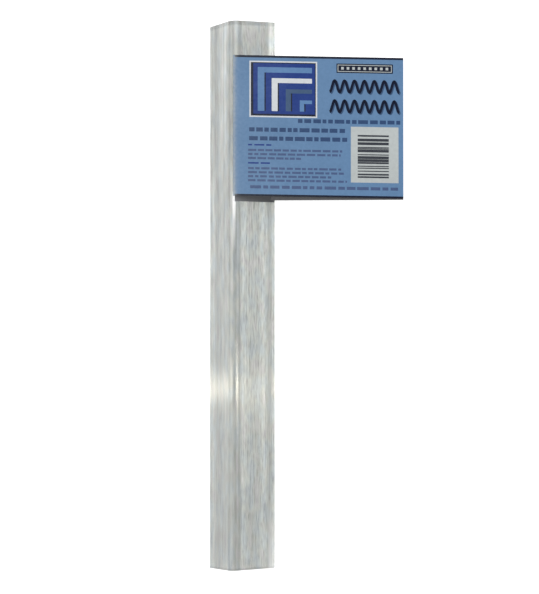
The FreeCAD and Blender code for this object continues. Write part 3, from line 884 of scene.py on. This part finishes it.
class CORNERGUARD_OT_card(bpy.types.Operator):
    """Make the folded card: one sheet carried along Y, with its print kept as a colour on each face corner"""
    bl_idname = "corner_guard.card"
    bl_label = "Folded card label"

    def execute(self, context):
        card, guard = context.scene.label_card, context.scene.corner_guard
        layers = print_bars(card)
        bars = np.array([bar for _, group in layers for bar in group])
        columns = grid_lines(np.append(bars[:, :2], WEAR_LINES), card.width / MM)
        lines = grid_lines(bars[:, 2:].ravel(), card.height / MM)
        sheet, backing = card_sheet(card, guard, columns)
        fold_start = len(columns) - 1
        fold_end = fold_start + FOLD_STEPS
        cut = card_cut(card, guard)
        place = partial(on_panel, card, cut, sheet[0], fold_start)
        waves = [wave(foot) for foot in WAVE_FEET]
        solids = [
            slab(*(sheet_grid(card, guard, cut, path, fold_end, lines) for path in sheet)),
            slab(*(backing_grid(card, cut, path) for path in backing)),
            *(slab(*ribbon(line, SHADE_SHIFT, 1, place)) for line in waves),
            *(slab(*ribbon(line, 0, 2, place)) for line in waves),
        ]
        points, quads = joined(solids)
        piece = solid_object("card_label", points, np.concatenate(quads))

        # Ink by quad: the print, bare board, the backing in board painted darker as shade, then the printed
        # shades and the strokes of the waves.
        inks = [printed_inks(card, layers, columns, lines, len(sheet[0]))]
        counts = [len(quads[0]) - len(inks[0])] + [len(group) for group in quads[1:]]
        plain = [(*card.board, 0), (*card.backing, 0)] + [(*card.slate, 1)] * 2 + [(*card.navy, 1)] * 2
        inks += [np.tile(ink, (count, 1)) for ink, count in zip(plain, counts)]
        corners = np.repeat(np.concatenate(inks), 4, axis=0).astype(np.float32)
        attribute = piece.data.color_attributes.new(PRINT_COLOUR, "FLOAT_COLOR", "CORNER")
        attribute.data.foreach_set("color", corners.ravel())

        # rubbed fold and painted light on the printed side's points, zero elsewhere
        rub_and_light_by_point = np.repeat(fold_rub_and_light(sheet[0], fold_start, fold_end), len(lines))
        rub_and_light = np.zeros(len(points), np.float32)
        rub_and_light[:len(rub_and_light_by_point)] = rub_and_light_by_point
        attribute = piece.data.attributes.new(FOLD_RUB_AND_LIGHT, "FLOAT", "POINT")
        attribute.data.foreach_set("value", rub_and_light)

        piece.data.materials.append(card_material(card))
        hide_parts("label_card")
        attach(piece, "root")
        return {"FINISHED"}


def seen_share(tree):
    """1 for what the eye sees straight, reflected or through clear plastic, and 0 for light on surfaces."""
    path = add_node(tree, "ShaderNodeLightPath")
    seen = math_node(tree, "MAXIMUM", path.outputs["Is Camera Ray"], path.outputs["Is Glossy Ray"])
    return math_node(tree, "MAXIMUM", seen, path.outputs["Is Transmission Ray"])


def add_surfaces(tree, first, second):
    """The sum of two shaders on the material's output."""
    both = add_node(tree, "ShaderNodeAddShader", {0: first.outputs[0], 1: second.outputs[0]})
    add_node(tree, "ShaderNodeOutputMaterial", {"Surface": both.outputs[0]})


def floor_material(stage):
    """Matt white that keeps its shadows, with some light of its own for the eye, so that it reads white."""
    material, tree = blank_material("floor_white")
    matt = add_node(tree, "ShaderNodeBsdfDiffuse", {"Color": (*stage.floor_colour, 1)})
    lift = add_node(tree, "ShaderNodeEmission", {
        "Color": WHITE, "Strength": math_node(tree, "MULTIPLY", seen_share(tree), stage.floor_lift),
    })
    add_surfaces(tree, matt, lift)
    return material


def make_floor(stage):
    """A flat disc at floor level: radius times (cos a, sin a), in rings."""
    radius = np.array(FLOOR_RINGS)
    a = np.linspace(0, 2 * math.pi, stage.floor_segments, endpoint=False)
    rings = radius[:, None, None] * np.stack([np.cos(a), np.sin(a), np.zeros_like(a)], axis=-1)
    points = np.concatenate([rings.reshape(-1, 3), [[0, 0, 0]]])
    index = np.arange(len(radius) * len(a)).reshape(len(radius), len(a))
    after = np.roll(index, -1, axis=1)
    quads = np.stack([index[:-1], index[1:], after[1:], after[:-1]], axis=-1).reshape(-1, 4)
    hub = np.stack([np.full(len(a), len(points) - 1), index[0], after[0]], axis=-1)
    mesh = bpy.data.meshes.new("floor")
    mesh.from_pydata(points.tolist(), [], quads.tolist() + hub.tolist())
    mesh.materials.append(floor_material(stage))
    add_object("floor", mesh)


def make_world(stage):
    """Even light from all round, and plain white where the eye sees past the floor."""
    world = bpy.data.worlds.new("studio")
    bpy.context.scene.world = world
    world.use_nodes = True
    tree = world.node_tree
    tree.nodes.clear()
    strength = math_node(tree, "MULTIPLY_ADD", seen_share(tree), 1 - stage.sky_light, stage.sky_light)
    light = add_node(tree, "ShaderNodeBackground", {"Color": WHITE, "Strength": strength})
    add_node(tree, "ShaderNodeOutputWorld", {"Surface": light.outputs[0]})


def make_softbox(stage):
    """A square lamp that looks at its target, with its -Z axis on the line there, and isn't seen itself."""
    lamp = bpy.data.lights.new("softbox", "AREA")
    lamp.shape, lamp.size, lamp.energy = "SQUARE", SOFTBOX_SIZE, stage.key_light
    holder = add_object("softbox", lamp)
    holder.location = SOFTBOX_PLACE
    towards = Vector(SOFTBOX_TARGET) - Vector(SOFTBOX_PLACE)
    holder.rotation_euler = towards.to_track_quat("-Z", "Y").to_euler()
    holder.visible_camera = False


def glow_material(stage, name, brightness):
    """Light that fades from the strip's middle by exp(-t^2), on a surface that is clear itself."""
    material, tree = blank_material(name)
    uv = add_node(tree, "ShaderNodeUVMap", uv_map=GLOW_UV).outputs["UV"]
    t = add_node(tree, "ShaderNodeSeparateXYZ", {"Vector": uv}).outputs["X"]
    squared = math_node(tree, "MULTIPLY", t, t)
    fade = math_node(tree, "EXPONENT", math_node(tree, "MULTIPLY", squared, -1.0))
    light = add_node(tree, "ShaderNodeEmission", {
        "Color": (*stage.glow_colour, 1), "Strength": math_node(tree, "MULTIPLY", fade, brightness),
    })
    add_surfaces(tree, light, add_node(tree, "ShaderNodeBsdfTransparent"))
    return material


def make_glow(stage, name, brightness, width_share, shift, path):
    """A light strip that only shows in reflections, along a path of (x, z) away from the moulding.

    Seen in the moulding from the camera, its middle is at glow_place. Across the strip, t is the distance
    from its middle over its width. Middle and width both grow with the distance from the nose.
    """
    path = np.asarray(path)
    away = 1 + np.abs(path[:, 0]) / stage.view_distance
    camera_y = -stage.view_distance * math.sin(stage.view_pitch)
    middle = camera_y + (stage.glow_place + shift - camera_y) * away
    t = np.array([-GLOW_REACH, GLOW_REACH])
    y = middle[:, None] + width_share * stage.glow_width * away[:, None] * t
    x, z = (np.repeat(values[:, None], 2, axis=1) for values in path.T)
    index = np.arange(2 * len(path)).reshape(-1, 2)
    quads = np.stack([index[:-1, 0], index[1:, 0], index[1:, 1], index[:-1, 1]], axis=-1)
    mesh = bpy.data.meshes.new(name)
    mesh.from_pydata(np.stack([x, y, z], axis=-1).reshape(-1, 3).tolist(), [], quads.tolist())
    across = np.stack([np.tile(t, len(path)), np.zeros(2 * len(path))], axis=-1)
    uv = mesh.uv_layers.new(name=GLOW_UV)
    uv.data.foreach_set("uv", across[quads.ravel()].astype(np.float32).ravel())
    mesh.materials.append(glow_material(stage, name, brightness))
    strip = add_object(name, mesh)
    strip.visible_camera = strip.visible_diffuse = strip.visible_transmission = strip.visible_shadow = False


def make_camera(stage, guard):
    """A camera at view_distance from the sharp corner, turned so that the corner falls on its pixel."""
    tilt, pitch = stage.view_tilt, stage.view_pitch
    corner = np.array([0, 0, (guard.leg_width + guard.wall) * math.sin(LEAN)])
    towards = np.array([math.sin(tilt) * math.cos(pitch), -math.sin(pitch), math.cos(tilt) * math.cos(pitch)])
    right_pixels = stage.corner_x - PHOTO_WIDTH / 2
    up_pixels = PHOTO_HEIGHT / 2 - stage.corner_y
    lens = bpy.data.cameras.new("camera")
    lens.sensor_fit, lens.sensor_width = "AUTO", SENSOR
    lens.lens = stage.focal_pixels * SENSOR / PHOTO_HEIGHT
    camera = add_object("camera", lens)
    camera.location = corner + stage.view_distance * towards
    camera.rotation_euler = (pitch - math.atan2(up_pixels, stage.focal_pixels),
                             tilt + math.atan2(right_pixels, stage.focal_pixels), 0)
    bpy.context.scene.camera = camera


class CORNERGUARD_OT_stage(bpy.types.Operator):
    """Set the floor, the even light, the softbox, the light strips and the camera"""
    bl_idname = "corner_guard.stage"
    bl_label = "Floor, lights and camera"

    def execute(self, context):
        stage, guard = context.scene.corner_guard_stage, context.scene.corner_guard
        make_floor(stage)
        make_world(stage)
        make_softbox(stage)
        for glow in GLOWS:
            make_glow(stage, *glow)
        make_camera(stage, guard)
        context.scene.view_settings.view_transform = "Standard"
        return {"FINISHED"}


class CORNERGUARD_PT_sidebar(bpy.types.Panel):
    """Sizes, colours and the steps that build the dressed moulding"""
    bl_idname = "CORNERGUARD_PT_sidebar"
    bl_label = "Corner guard moulding"
    bl_space_type = "VIEW_3D"
    bl_region_type = "UI"
    bl_category = "Corner guard"

    def draw(self, context):
        scene = context.scene
        for operator, settings in ((CORNERGUARD_OT_moulding, scene.corner_guard),
                                   (CORNERGUARD_OT_card, scene.label_card),
                                   (CORNERGUARD_OT_stage, scene.corner_guard_stage)):
            box = self.layout.box()
            for name in settings.__annotations__:
                box.prop(settings, name)
            box.operator(operator.bl_idname)


CLASSES = (GuardSettings, CardSettings, StageSettings, CORNERGUARD_OT_moulding, CORNERGUARD_OT_card,
           CORNERGUARD_OT_stage, CORNERGUARD_PT_sidebar)


def register():
    for item in CLASSES:
        bpy.utils.register_class(item)
    bpy.types.Scene.corner_guard = PointerProperty(type=GuardSettings)
    bpy.types.Scene.label_card = PointerProperty(type=CardSettings)
    bpy.types.Scene.corner_guard_stage = PointerProperty(type=StageSettings)


def unregister():
    del bpy.types.Scene.corner_guard_stage
    del bpy.types.Scene.label_card
    del bpy.types.Scene.corner_guard
    for item in reversed(CLASSES):
        bpy.utils.unregister_class(item)


def main():
    """Builds the pieces and the stage."""
    register()
    bpy.ops.corner_guard.moulding()
    bpy.ops.corner_guard.card()
    bpy.ops.corner_guard.stage()


if __name__ == "__main__":
    main()
